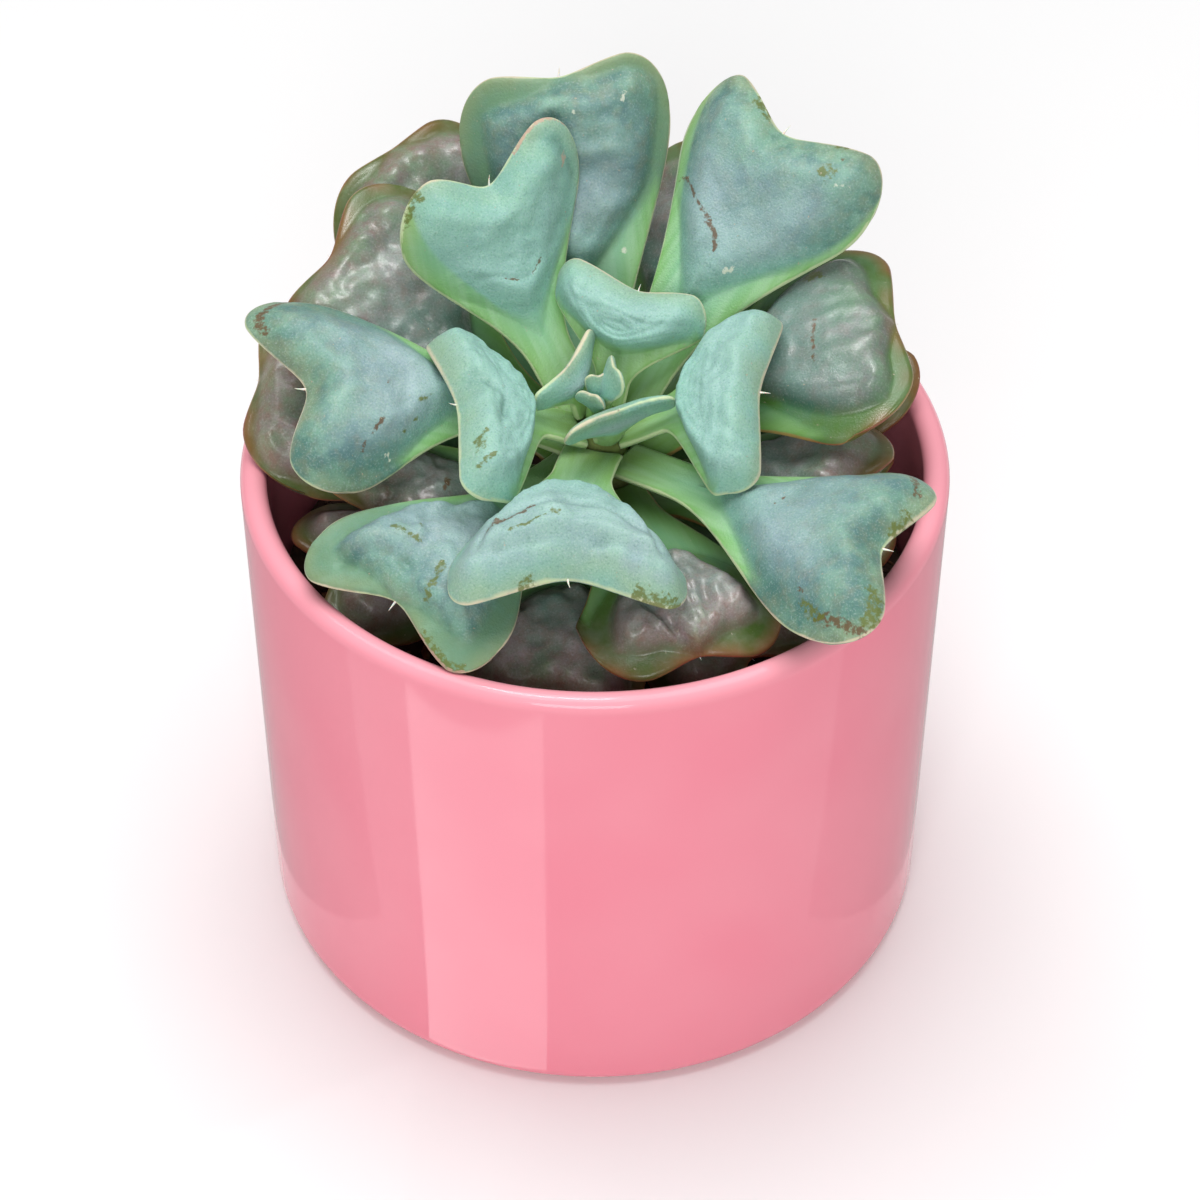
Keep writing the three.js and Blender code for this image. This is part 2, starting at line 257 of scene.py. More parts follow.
# Pink gloss glaze on slip-cast earthenware: fired glass, so the colour is even and the shine sharp.
glaze = {
    "body": "f58ea0",
    "pale": "f79aa9",  # broad clouds where the glaze lies a little thinner
    "lip": "f9a6b3",  # paler over the lip, where the glaze runs thin and the clay shows through, and partly a painted highlight on the rim
    "clay": "d9c2b0",  # the bare foot
    "clouds": 24, "ripples": 13,  # mm, their sizes
    "paleLipBand": (93.4, 96),  # mm above the table, from the body to the lip
    "begins": (0.2, 0.5),  # mm above the table, from the clay to the glaze
    "roughness": (0.8, 0.08),  # clay, glaze
}


def glazeMaterial():
    material, add = newMaterial("pinkGlossGlaze")
    place = add("ShaderNodeTexCoord").outputs["Object"]
    height = add("ShaderNodeSeparateXYZ", {"Vector": place}).outputs["Z"]
    clouds, ripples = (add("ShaderNodeTexNoise", {
        "Vector": place, "Scale": 1 / (glaze[key] * mm), "Detail": 1.0}) for key in ("clouds", "ripples"))
    low, high, paleLipLow, paleLipHigh = (z * mm for z in glaze["begins"] + glaze["paleLipBand"])
    clay, glazed = glaze["roughness"]
    rough = add("ShaderNodeMapRange", {
        "Value": height, "From Min": low, "From Max": high, "To Min": clay, "To Max": glazed})
    tint = {key: hexColor(glaze[key]) for key in ("body", "pale", "lip", "clay")}
    layCoats(add, tint, [
        ("body", "body", "pale", clouds, 0.35, 0.7, 0, 0.5),
        # the lip paler: thin glaze over the clay, and partly a painted highlight on the rim's top
        ("body", "body", "lip", height, paleLipLow, paleLipHigh, 0, 1),
        ("body", "clay", "body", height, low, high, 0, 1),
    ])
    wavy = add("ShaderNodeBump", {"Height": ripples, "Strength": 0.05, "Distance": 0.4 * mm})
    shader = add("ShaderNodeBsdfPrincipled", {
        "Base Color": tint["body"], "Roughness": rough, "IOR": 1.5, "Specular IOR Level": 0.22, "Normal": wavy})
    add("ShaderNodeOutputMaterial", {"Surface": shader})
    return material


potShape = {
    "height": 96.0, "rimRadius": 60.0, "footRadius": 59.0, "wall": 4.5,
    "footRound": 4.0, "floor": 6.0, "floorRound": 5.0, "sides": 192,
}


def arc(r, z, radius, start, end, steps):
    angles = [math.radians(between(start, end, k / steps)) for k in range(steps + 1)]
    return [(r + radius * math.cos(a), z + radius * math.sin(a)) for a in angles]


def makePot():
    shape = potShape
    lip = shape["wall"] / 2
    bore = shape["footRadius"] - shape["wall"]
    foot, well = shape["footRound"], shape["floorRound"]
    profile = [
        (0, 0),
        (shape["footRadius"] * 0.5, 0),
        *arc(shape["footRadius"] - foot, foot, foot, -90, 0, 14),
        *arc(shape["rimRadius"] - lip, shape["height"] - lip, lip, 0, 180, 26),
        *arc(bore - well, shape["floor"] + well, well, 0, -90, 10),
        (0, shape["floor"]),
    ]
    mesh = bpy.data.meshes.new("potBody")
    mesh.from_pydata([(r * mm, 0, z * mm) for r, z in profile], [(k, k + 1) for k in range(len(profile) - 1)], [])
    pot = newPiece("potBody", mesh)
    turn = pot.modifiers.new("turn", "SCREW")
    turn.steps = turn.render_steps = shape["sides"]
    turn.use_merge_vertices = True
    turn.merge_threshold = 0.01 * mm
    turn.use_normal_calculate = True
    turn.use_smooth_shade = True
    plainMesh(pot).materials.append(glazeMaterial())
    settle(pot, "glaze", "pot")


makePot()
print("pot")

# ---- leaves ----

usualLeaf = {
    "azimuth": 0, "firm": 0.4, "curl": 0.36, "sway": 0, "roll": 0,
    "base": 5.5, "notch": 4.5, "bay": 0.25, "skew": 0, "slant": 0, "lobe": 0.5,
    "neck": 0.08, "full": 0.96, "turnIn": 0, "pillow": 3, "start": 0.36, "heel": 0, "border": 0,
    "flare": (0, 0), "soft": 7, "dome": 3, "channel": 2, "keel": 1.6, "edge": 1.0,
    "lumps": 0.6, "lumpSize": 9,  # mm, height and width of the swellings on the blade
    "crinkle": 0.08,  # mm, depth of the fine wrinkles
    "rays": 0,  # mm, height of ridges that run in from the notch
    "ripple": 0,  # mm, depth of nested creases
    "inner": 0,  # mm, height of a second mound on the first
    "valley": 0.4,  # mm, depth of the groove below the notch
    "bare": (0, 0),  # mm, green band without powder along the left and the right margin
    "bloomed": 1,  # how far the powder covers the blade
    "lilac": 1,
    "age": 0.1,
    "folds": (), "cork": (), "olive": (), "pale": (), "blush": (),
}
agedLeaf = {"border": 2, "soft": 4, "heel": 0.6}  # where an old leaf usually differs

# Along the spiral from the youngest: each row holds these values, then where else the leaf differs from the usual.
leafColumns = (
    "azimuth", "reach", "height", "rise", "droop", "halfWidth", "lumps", "lumpSize", "crinkle", "rays", "age")
leaves = [
    (-12, 6.2, 117.9, 75, 75, 9, 0.1, 9, 0.02, 0, 0.1, {"base": 2.2, "neck": 0.3, "notch": 1, "lobe": 0.8, "roll": -2,
        "pillow": 1.2, "dome": 1, "channel": 1, "keel": 1, "bloomed": 0.9}),
    (-3, 6.9, 118.7, 66, 75, 10, 0.15, 9, 0.03, 0, 0.1, {"base": 2.8, "neck": 0.15, "notch": 1, "lobe": 0.8,
        "roll": -2, "pillow": 1.2, "dome": 1.5, "channel": 1, "keel": 1, "bloomed": 0.9}),
    (-5.5, 18.2, 120.5, 43, 40, 13.3, 0.4, 5, 0.12, 0, 0, {"base": 3, "neck": 0.2, "full": 0.88, "notch": 2,
        "lobe": 0.75, "skew": -0.1, "slant": 1.8, "sway": 1, "roll": -3, "start": 0.46, "heel": 1, "soft": 5,
        "pillow": 3.2, "dome": 2, "channel": 1.2, "ripple": 0.15, "lilac": 0.3}),
    (-12, 24.5, 122, 39, 28, 18.5, 0.6, 5, 0.15, 0, 0, {"base": 3.8, "neck": 0.34, "full": 0.86, "notch": 1.5,
        "lobe": 0.8, "slant": 2, "sway": -1.5, "roll": 3.5, "start": 0.46, "heel": 1, "soft": 4, "pillow": 4.5,
        "ripple": 0.15, "lilac": 0.3}),
    (-0.5, 26.5, 121, 38, 15, 17.5, 0.6, 5, 0.15, 0, 0, {"base": 3.8, "neck": 0.34, "full": 0.84, "notch": 1.5,
        "lobe": 0.8, "roll": 3.2, "start": 0.47, "heel": 1, "soft": 4, "pillow": 4.5, "channel": 1.4, "ripple": 0.1,
        "lilac": 0.4}),
    (-4, 36, 130.8, 19, 65, 17.4, 0.6, 8, 0.08, 0, 0.05, {"base": 4.2, "neck": 0.26, "full": 1.02, "turnIn": 0.8,
        "notch": 6, "lobe": 0.6, "slant": -3.8, "sway": -2.5, "roll": -8, "heel": 0.7, "pillow": 3.5, "dome": 1.5,
        "bare": (2.6, 0), "lilac": 0.3}),
    (-10, 41, 121, 30, 15, 19, 0.8, 6, 0.15, 0, 0.1, {"base": 5, "neck": 0.25, "full": 0.95, "notch": 4, "lobe": 0.8,
        "sway": 5, "roll": 2, "start": 0.5, "heel": 1, "soft": 3.8, "pillow": 5, "inner": 2.4, "lilac": 0.8}),
    (9.4, 50.5, 133, 30, 40, 24, 0.7, 11, 0.08, 0, 0.65, {"base": 5, "neck": 0.17, "full": 1.3, "turnIn": 2.4,
        "lobe": 0.72, "skew": 0.1, "slant": -0.5, "sway": -2, "heel": 0.2, "pillow": 3.5, "bare": (1.3, 0.5)}),
    (-6, 47.9, 118.4, 30, 10, 17.5, 0.8, 8, 0.08, 0, 0.75, {"base": 4.6, "neck": 0.3, "notch": 6, "lobe": 0.7,
        "slant": -3.5, "sway": 6, "roll": -9, "heel": 0.5, "pillow": 4}),
    (-3.6, 56.5, 121, 30, 25, 20.2, 0.6, 9, 0.08, 0, 0.9, {"base": 4, "neck": 0.28, "full": 1.08, "turnIn": 1.2,
        "lobe": 0.65, "slant": -3, "sway": 7, "roll": 4, "heel": 0.4, "pillow": 4}),
    (0.5, 51.8, 134.6, 4, 50, 18, 1.1, 7, 0.08, 0, 1, {"notch": 1.8, "lobe": 0.6, "slant": -1.5, "sway": 1,
        "roll": -5, "heel": 0.3, "border": 1.5, "flare": (5, 0.5), "soft": 4.5}),
    (-4, 50.5, 110.7, 12.5, -15, 18.5, 1.2, 5.5, 0.2, 0, 0.6, {"neck": 0.32, "lobe": 0.75, "slant": -1, "heel": 0.8,
        "border": 1.5, "flare": (4, 4.5), "soft": 4, "pillow": 3.5, "dome": 1.5}),
    (4, 50.9, 117.6, 30, 5, 19, 0.45, 8, 0.06, 0.35, 0.2, {"neck": 0.2, "full": 0.88, "notch": 1.2, "lobe": 0.56,
        "skew": -0.1, "slant": 3.3, "sway": 1, "roll": -3, "border": 2.5, "flare": (2, 2.5)}),
    (0, 53.5, 115.6, 20, 20, 20, 1.3, 7, 0.1, 0.2, 0.5, {"neck": 0.2, "notch": 2.2, "slant": -2.5, "roll": -14,
        "border": 0.5, "flare": (0.5, 3.5)}),
    (3.5, 48, 105, 26, -15, 16.8, 1.1, 5.5, 0.15, 1.2, 0.75, {"neck": 0.2, "notch": 1.7, "slant": 1.1, "start": 0.45,
        "heel": 0.8, "border": 2.5, "flare": (4, 3), "soft": 3.5}),
    (0, 53, 112, 18, 30, 17, 1.5, 6.5, 0.12, 0, 0.5, {"border": 1.5, "flare": (2, 2), "soft": 7}),
    (2, 41, 101.8, 20, 0, 16, 1.5, 6.5, 0.15, 0.25, 0.9, {"roll": -8, "heel": 0.8}),
    (6, 44, 104, 22, 5, 16, 1.5, 6.5, 0.12, 0.2, 0.7, {}),
    (8, 64, 114, 16, 30, 17.5, 1.5, 6.5, 0.12, 0.2, 0.6, {"notch": 0.4, "lobe": 0.42, "slant": -2, "border": 1.5,
        "flare": (2, 2)}),
    (6, 46, 93, 18, -15, 15, 1.5, 6.5, 0.15, 0.3, 0.8, {"heel": 0.8}),
    (-3.5, 52, 99, 15, 20, 16, 1.5, 6.5, 0.12, 0.2, 0.7, {}),
    (0, 59, 102.4, 12, 10, 17, 1.5, 6.5, 0.15, 0.3, 0.9, {"notch": 1.2, "slant": -1.8, "roll": -8, "border": 1,
        "flare": (1, 1), "dome": 2}),
    (0, 43, 88, 12, 5, 15.5, 1.5, 6.5, 0.12, 0.2, 0.9, {}),
    (10, 54, 92, 10, 20, 17, 1.5, 6.5, 0.12, 0.2, 0.8, {}),
    (-20, 48, 88, 12, 10, 15.5, 1.5, 6.5, 0.12, 0.2, 1, {}),
    (0, 46, 86.5, 14, 10, 16, 1.5, 6.5, 0.12, 0.2, 1, {}),
]

# Each fold is its height and half width in mm, then its course as (along, across) in percent of the leaf.
# Each mark is its half width in mm, then its course.
marks = {
    3: {"folds": [(0.5, 1.6, (62, 50), (80, 20), (80, -30), (62, -60))]},
    4: {"folds": [(-0.8, 0.8, (92, -20), (78, 10), (80, 30)), (-0.6, 0.7, (77, 20), (84, 45))],
        "olive": [(0.45, (92, 51), (95, 57), (94, 69)), (0.45, (90, 78), (95, 82))]},
    5: {"folds": [(-0.5, 0.7, (86, -53), (93, -60)), (0.6, 1.8, (70, 50), (90, 30), (97, 0))]},
    6: {"folds": [(-0.22, 0.5, (65, 62), (64, 30), (60, -10), (62, -45)), (0.5, 2.4, (92, 55), (82, 30), (90, 8)),
                  (0.5, 2.6, (88, -55), (82, -25), (90, -6)), (-0.8, 1, (97, -50), (93, -80), (85, -95))],
        "cork": [(0.22, (63, 30), (61, 5)), (0.3, (60, -20), (62, -44))],
        "olive": [(1.1, (99, 75), (98, 88))],
        "blush": [(0.6, (90, -84), (88, -80)), (0.25, (100, -90), (100, -30))]},
    7: {"folds": [(-0.9, 0.9, (86, -75), (80, -45), (78, 0), (80, 45), (86, 75)),
                  (0.9, 2.4, (80, -30), (88, 2), (80, 30)), (-0.5, 0.7, (84, -42), (93, -30), (95, 10), (90, 42))],
        "cork": [(0.6, (80, -35), (83, -53), (83, -72))],
        "olive": [(0.3, (89, -51), (87, -20)), (0.6, (86, -15), (87, -10)), (0.5, (100, -40), (99, -30)),
                  (0.7, (100, 55), (100, 90))]},
    8: {"folds": [(0.5, 3, (95, 30), (84, 10), (90, -20)), (0.45, 3, (90, -35), (93, -70)),
                  (-0.25, 1.4, (78, 60), (72, 10), (80, -30))],
        "cork": [(0.4, (72, 97), (68, 65), (67, 37)), (0.75, (67, 37), (64, 10), (60, -3)),
                 (0.3, (96, -55), (97, -57))],
        "olive": [(1.1, (93, -48), (92, -56)), (0.6, (100, 30), (99, 50)), (0.6, (100, -40), (100, -50))],
        "pale": [(0.3, (90, -66), (92, -78)), (0.9, (55, -35), (56, -42))]},
    9: {"folds": [(0.5, 2.6, (95, 40), (84, 10), (93, -30)), (-0.25, 1.4, (70, 70), (66, 0), (75, -50))],
        "cork": [(0.35, (73, 3), (74, 8)), (0.45, (73, 53), (76, 66)), (0.4, (78, 71), (79, 78)),
                 (0.6, (94, -97), (97, -78), (98, -57))],
        "olive": [(0.8, (60, 25), (61, 30)), (0.4, (61, 55), (62, 60)), (0.4, (64, 69), (65, 72))],
        "pale": [(0.3, (72, 86), (71, 93))]},
    10: {"folds": [(0.5, 2.8, (95, 35), (85, 10), (92, -25)), (-0.25, 1.4, (68, 50), (66, -30))],
         "cork": [(0.18, (67, 20), (66, -5)), (0.35, (81, -79), (82, -80)), (0.9, (90, -90), (99, -87)),
                  (0.6, (97, 59), (93, 90))],
         "olive": [(0.8, (84, -86), (90, -90)), (0.7, (100, 15), (99, 37)), (0.9, (98, -51), (99, -80))]},
    11: {"folds": [(0.9, 2.4, (88, 50), (94, 10), (90, -40)), (0.7, 2.4, (76, 50), (80, 0), (78, -50))],
         "pale": [(0.4, (90, -57), (91, -60)), (0.4, (91, -10), (92, -12)), (0.6, (49, -74), (50, -70))]},
    12: {"folds": [(-0.9, 0.9, (92, -62), (88, -35), (90, 0)), (0.8, 2.2, (84, -50), (80, 0), (84, 50))],
         "olive": [(0.45, (81, -44), (82, -13)), (0.4, (76, -30), (77, -25)), (0.9, (84, 22), (92, 28)),
                   (0.8, (99, 40), (99, 85))],
         "blush": [(0.3, (100, 35), (100, 90))]},
    13: {"cork": [(0.35, (75, 10), (73, -13), (71, -35))],
         "olive": [(1.4, (77, 65), (79, 60))]},
    17: {"cork": [(0.8, (66, -8), (68, 2))]},
}

# Rows and columns of a blade: how many leaves take the finer grid, and from which index on they are old.
bladeGrid = {"upper": (110, 80), "lower": (64, 48), "upperCount": 17, "oldFrom": 12}


# The distance in mm from a line that is given as (along, across) in percent of the leaf.
def fromCourse(course, placeX, placeY, leaf, length):
    nearest = np.full_like(placeX, 99.0)
    for (s0, t0), (s1, t1) in zip(course, course[1:] or course):
        x0, x1 = (t / 100 * leaf["halfWidth"] for t in (t0, t1))
        y0, y1 = (s / 100 * length for s in (s0, s1))
        reach = (x1 - x0) ** 2 + (y1 - y0) ** 2 + 1e-6
        part = np.clip(((placeX - x0) * (x1 - x0) + (placeY - y0) * (y1 - y0)) / reach, 0, 1)
        nearest = np.minimum(nearest, np.hypot(placeX - x0 - part * (x1 - x0), placeY - y0 - part * (y1 - y0)))
    return nearest


def leafSurface(leaf, rootHeight, azimuth, rows, columns, rootRadius):
    slopeOf = lambda degrees: np.array([math.cos(math.radians(degrees)), math.sin(math.radians(degrees))])
    root, tip = np.array([rootRadius, rootHeight]), np.array([leaf["reach"], leaf["height"]])
    chord = np.linalg.norm(tip - root)
    controls = [root, root + slopeOf(leaf["rise"]) * chord * leaf["firm"],
                tip - slopeOf(leaf["droop"]) * chord * leaf["curl"], tip]
    fine = np.linspace(0, 1, 400)[:, None]
    shares = [(1 - fine) ** 3, 3 * fine * (1 - fine) ** 2, 3 * fine ** 2 * (1 - fine), fine ** 3]
    midrib = sum(share * point for share, point in zip(shares, controls))
    travelled = np.concatenate([[0], np.cumsum(np.linalg.norm(np.diff(midrib, axis=0), axis=1))])
    length = travelled[-1]
    slopes = np.gradient(midrib, axis=0)
    slopes /= np.linalg.norm(slopes, axis=1)[:, None]

    # rows lie closer towards the tip, and columns towards the margins
    s = 1 - (1 - np.arange(rows + 1) / rows) ** 1.2
    crowding = 1.35
    t = np.sin(np.linspace(-crowding, crowding, columns + 1)) / math.sin(crowding)
    px, pz = (np.interp(s * length, travelled, midrib[:, k]) for k in (0, 1))
    slopeX, slopeZ = (np.interp(s * length, travelled, slopes[:, k]) for k in (0, 1))
    slopeX[0], slopeZ[0] = 1, 0

    turn = math.radians(azimuth)
    outward = np.array([math.cos(turn), math.sin(turn), 0])
    leftward = np.array([-outward[1], outward[0], 0])
    upward = np.array([0, 0, 1.0])
    sway = leaf["sway"]
    centre = px[:, None] * outward + pz[:, None] * upward + (sway * s ** 2)[:, None] * leftward
    ahead = slopeX[:, None] * outward + slopeZ[:, None] * upward + (2 * sway * s / length)[:, None] * leftward
    ahead /= np.linalg.norm(ahead, axis=1)[:, None]
    aside = leftward - ahead * (ahead @ leftward)[:, None]
    aside /= np.linalg.norm(aside, axis=1)[:, None]
    roll = np.radians(leaf["roll"] * s)[:, None]
    aside = aside * np.cos(roll) + np.cross(ahead, aside) * np.sin(roll)
    normal = np.cross(ahead, aside)[:, None]

    along, across = np.meshgrid(s, t, indexing="ij")  # each point's shares of the length and of the half width
    width = between(leaf["base"], leaf["halfWidth"], softStep(along, leaf["neck"], leaf["full"]))
    width -= leaf["turnIn"] * np.maximum(0, (along - 0.8) / 0.2) ** 2
    bow = between(leaf["channel"], -leaf["dome"], softStep(along, 0.25, 0.85))
    bow *= np.minimum(1, width / leaf["halfWidth"] + 0.2)
    rim = np.sqrt(np.minimum(1, (1 - along) * length / 4))  # thinner over the last 4 mm
    skew, lobe, notch, bay = leaf["skew"], leaf["lobe"], leaf["notch"], leaf["bay"]
    u = np.abs(across - skew) / np.where(across > skew, 1 - skew, 1 + skew)
    shoulder = np.clip((u - lobe) / (1 - lobe), 0, 1)
    away = (np.sqrt((u / lobe) ** 2 + bay ** 2) - bay) / (math.sqrt(1 + bay ** 2) - bay)
    setback = np.where(u < lobe, notch * np.clip(1 - away, 0, 1) ** 1.5,
                       leaf["halfWidth"] * 1.4 * (1 - lobe) * (1 - np.sqrt(1 - shoulder ** 2)))
    setback = (setback - notch - leaf["slant"] * across) * along ** 3
    middle = (centre[:, None] + aside[:, None] * (width * across)[..., None]
              - ahead[:, None] * setback[..., None] + normal * (bow * across ** 2)[..., None])
    outline = np.concatenate([middle[:, 0], middle[-1], middle[::-1, -1]])
    fromEdge = np.min([np.linalg.norm(middle - point, axis=2) for point in outline], axis=0)

    # the raised blade
    start, heel = leaf["start"], leaf["heel"]
    opening = softStep(along, start - 0.08, start + 0.36)
    belowRound = np.maximum(0, (start + 0.3 - along) / 0.3)
    openSide = between(opening - np.abs(across), 1 - np.hypot(across, belowRound), heel) * width
    aside = np.abs(across - skew)
    flare = np.where(across > skew, *leaf["flare"]) * np.minimum(1, aside * 1.2) * along ** 3
    fromSide = openSide - leaf["border"] - flare * 0.7
    fromTip = (1 - along) * length - leaf["border"] * np.minimum(1, aside * 3) - flare
    share = np.sin(np.clip(fromSide / leaf["soft"], 0, 1) * math.pi / 2) \
        * np.sin(np.clip(fromTip / (leaf["soft"] * 0.8), 0, 1) * math.pi / 2)
    inward = np.minimum(fromSide, fromTip * 1.3)
    second = softStep(fromSide, 4.2, 6) * softStep(fromTip, 2.8, 4.6)
    raised = leaf["pillow"] * share + leaf["inner"] * second

    # its swellings, wrinkles and creases
    seed = rootHeight * 0.37
    swell = softNoise(middle, leaf["lumpSize"], seed) + 0.5 * softNoise(middle, leaf["lumpSize"] * 0.45, seed + 1)
    wrinkle = 1 - 3 * np.abs(softNoise(middle, 2.6, seed + 2))
    relief = leaf["lumps"] * swell * softStep(share, 0.1, 0.7) + leaf["crinkle"] * wrinkle * softStep(share, 0, 0.5)
    sideways, back = (across - skew) * leaf["halfWidth"], (1 - along) * length + 5
    rayPlace = np.stack([np.arctan2(sideways, back) * 16, np.hypot(sideways, back) * 0.28, along * 0], axis=-1)
    rays = 1 - 2.6 * np.abs(softNoise(rayPlace, 3.4, seed + 5))
    relief += leaf["rays"] * rays * softStep(share, 0.15, 0.8) * softStep(along, 0.64, 0.84)
    relief -= leaf["valley"] * np.exp(-(sideways / 2.6) ** 2) * softStep(along, 0.62, 1)
    rings = (inward + 1.6 * softNoise(middle, 7, seed + 3)) / 2.3
    broken = softStep(softNoise(middle, 5, seed + 4), -0.4, 0.1)
    relief -= leaf["ripple"] * broken * np.exp(-((rings % 1 - 0.5) / 0.2) ** 2) * softStep(share, 0.3, 0.8)
    placeX, placeY = across * leaf["halfWidth"], along * length
    for height, halfWidth, *course in leaf["folds"]:
        relief += height * np.exp(-(fromCourse(course, placeX, placeY, leaf, length) / halfWidth) ** 1.6)

    # the margin's rounding, 0.8 mm wide, and the two sides
    rounded = np.sqrt(np.clip(1 - (1 - np.clip(fromEdge / 0.8, 0, 1)) ** 2, 0.02, 1))
    rounded[0] = 1
    keel = between(leaf["keel"], 0.8, along) * rim
    over = (leaf["edge"] / 2 + (1 - across ** 4) * rim * 0.6 + raised + relief) * rounded
    under = (leaf["edge"] / 2 + (1 - across ** 2) * keel) * rounded
    top, bottom = middle + normal * over[..., None], middle - normal * under[..., None]

    onBlade = np.maximum(softStep(openSide, -1.2, 2.4) * softStep(along, start - 0.05, start + 0.2),
                         softStep(along, start + 0.24, start + 0.42))
    leftBare, rightBare = leaf["bare"]
    bare = np.where(across > 0, leftBare, rightBare)
    onBlade *= softStep((1 - np.abs(across)) * width, bare - 0.8, bare + 0.8) if leftBare or rightBare else 1
    looks = {
        "bloom": leaf["bloomed"] * onBlade,
        "fromEdge": fromEdge,
        "lilac": leaf["lilac"] * softStep(share, 0.2, 0.9) * softStep(along, start, start + 0.35)
        * (1 - softStep(along, start + 0.4, start + 0.7)),
        "tipward": softStep(along, start + 0.3, 1.02),
        # the relief from -1 to 1, which the skin reads for painted crease shade and a painted swell highlight
        "ridge": np.clip(relief / max(1, leaf["lumps"] + leaf["crinkle"] + 0.5 * leaf["rays"] + 0.15), -1, 1),
        "flange": 1 - softStep(inward, -0.8, 1.4) if leaf["border"] else np.zeros_like(along),
        "age": leaf["age"] * (0.75 + 0.5 * (1 - softStep(inward, 1, 8)))
        * between(0.35, 1.2, softStep(along, start + 0.15, 0.92)),
        "alongLeaf": placeY,
        "acrossLeaf": across * width,
    }
    for mark in ("cork", "olive", "pale", "blush"):
        looks[mark] = np.zeros_like(along)
        for halfWidth, *course in leaf[mark]:
            off = fromCourse(course, placeX, placeY, leaf, length)
            looks[mark] = np.maximum(looks[mark], np.clip(1.5 - off / halfWidth, 0, 1))
    notchAt = int(np.argmin(np.abs(t - skew)))
    return top, bottom, looks, ((top[-1, notchAt] + bottom[-1, notchAt]) / 2, ahead[-1])


def leafShell(leaf, rootHeight, azimuth, rows, columns, rootRadius):  # its points, faces, looks and notch
    top, bottom, looks, notch = leafSurface(leaf, rootHeight, azimuth, rows, columns, rootRadius)
    points = np.concatenate([top.reshape(-1, 3), bottom.reshape(-1, 3)])
    count = len(points) // 2
    at = lambda i, j: i * (columns + 1) + j
    faces = []
    for i in range(rows):
        for j in range(columns):
            a, b, c, d = at(i, j), at(i + 1, j), at(i + 1, j + 1), at(i, j + 1)
            faces += [(a, b, c, d), (count + a, count + d, count + c, count + b)]
    rim = [at(0, j) for j in range(columns)] + [at(i, columns) for i in range(rows)]
    rim += [at(rows, j) for j in range(columns, 0, -1)] + [at(i, 0) for i in range(rows, 0, -1)]
    faces += [(a, b, count + b, count + a) for a, b in zip(rim, rim[1:] + rim[:1])]
    return points, faces, {key: np.tile(values.ravel(), 2) for key, values in looks.items()}, notch


# Succulent leaf skin. On the blade a powdery wax scatters light and turns it blue-grey; the strap below is bare
# and green. Each pair is for young leaves and for old ones.
leafColors = {
    "strap": ("88bd98", "6b9a70"), "strapSide": ("82b56e", "6d974d"),
    "strapDeep": ("8fb56a", "6f9648"), "streak": ("b6d9b8", "86ab7c"),
    "blade": ("8fc3b3", "4a7063"), "bladeAged": ("4f7b72", "867d75"),
    "lilac": ("a3babd", "738f87"), "lilacAged": ("708f95", "958789"),
    "green": ("8ab69a", "7d9a70"),  # towards the tip, where the powder is thin
    "deep": ("588474", "4f6353"),  # painted shade in the creases
    "tops": ("a0c7b8", "b9b5ae"),  # painted highlight on the swellings
    "flange": ("7ba583", "4e7a39"), "flangeAged": ("6d9372", "4b622b"),
    "powder": ("d3e4df", "c6c6c2"), "pit": ("4f7466", "4c5648"),
    "margin": ("cfdcae", "a5824e"), "marginPink": ("dccfb2", "98503c"),
    "stain": ("a58f62", "86655a"),
    "rust": ("a9a46c", "8e5a3a"),  # towards the margin of the lobes
}
leafSkins = {
    "name": ("bloomedLeafSkin", "agedLeafSkin"),
    "patchy": (0.16, 0.3),  # how far the age varies from patch to patch
    # the greatest shares of rust, stain, painted crease shade and painted swell highlight
    "rusty": (0.3, 0.7), "mottled": (0.2, 0.6), "creaseShadeShare": (0.35, 0.5), "raised": (0.3, 0.18),
    "roughness": ((0.36, 0.5), (0.22, 0.28)),  # bare, powdered
    "sheen": (0.1, 0.03), "gloss": (0.35, 0.5), "grain": (0.35, 0.12),
}
markColors = {"cork": "66492c", "olive": "65702e", "pale": "dde2cf", "blush": "c2a491"}


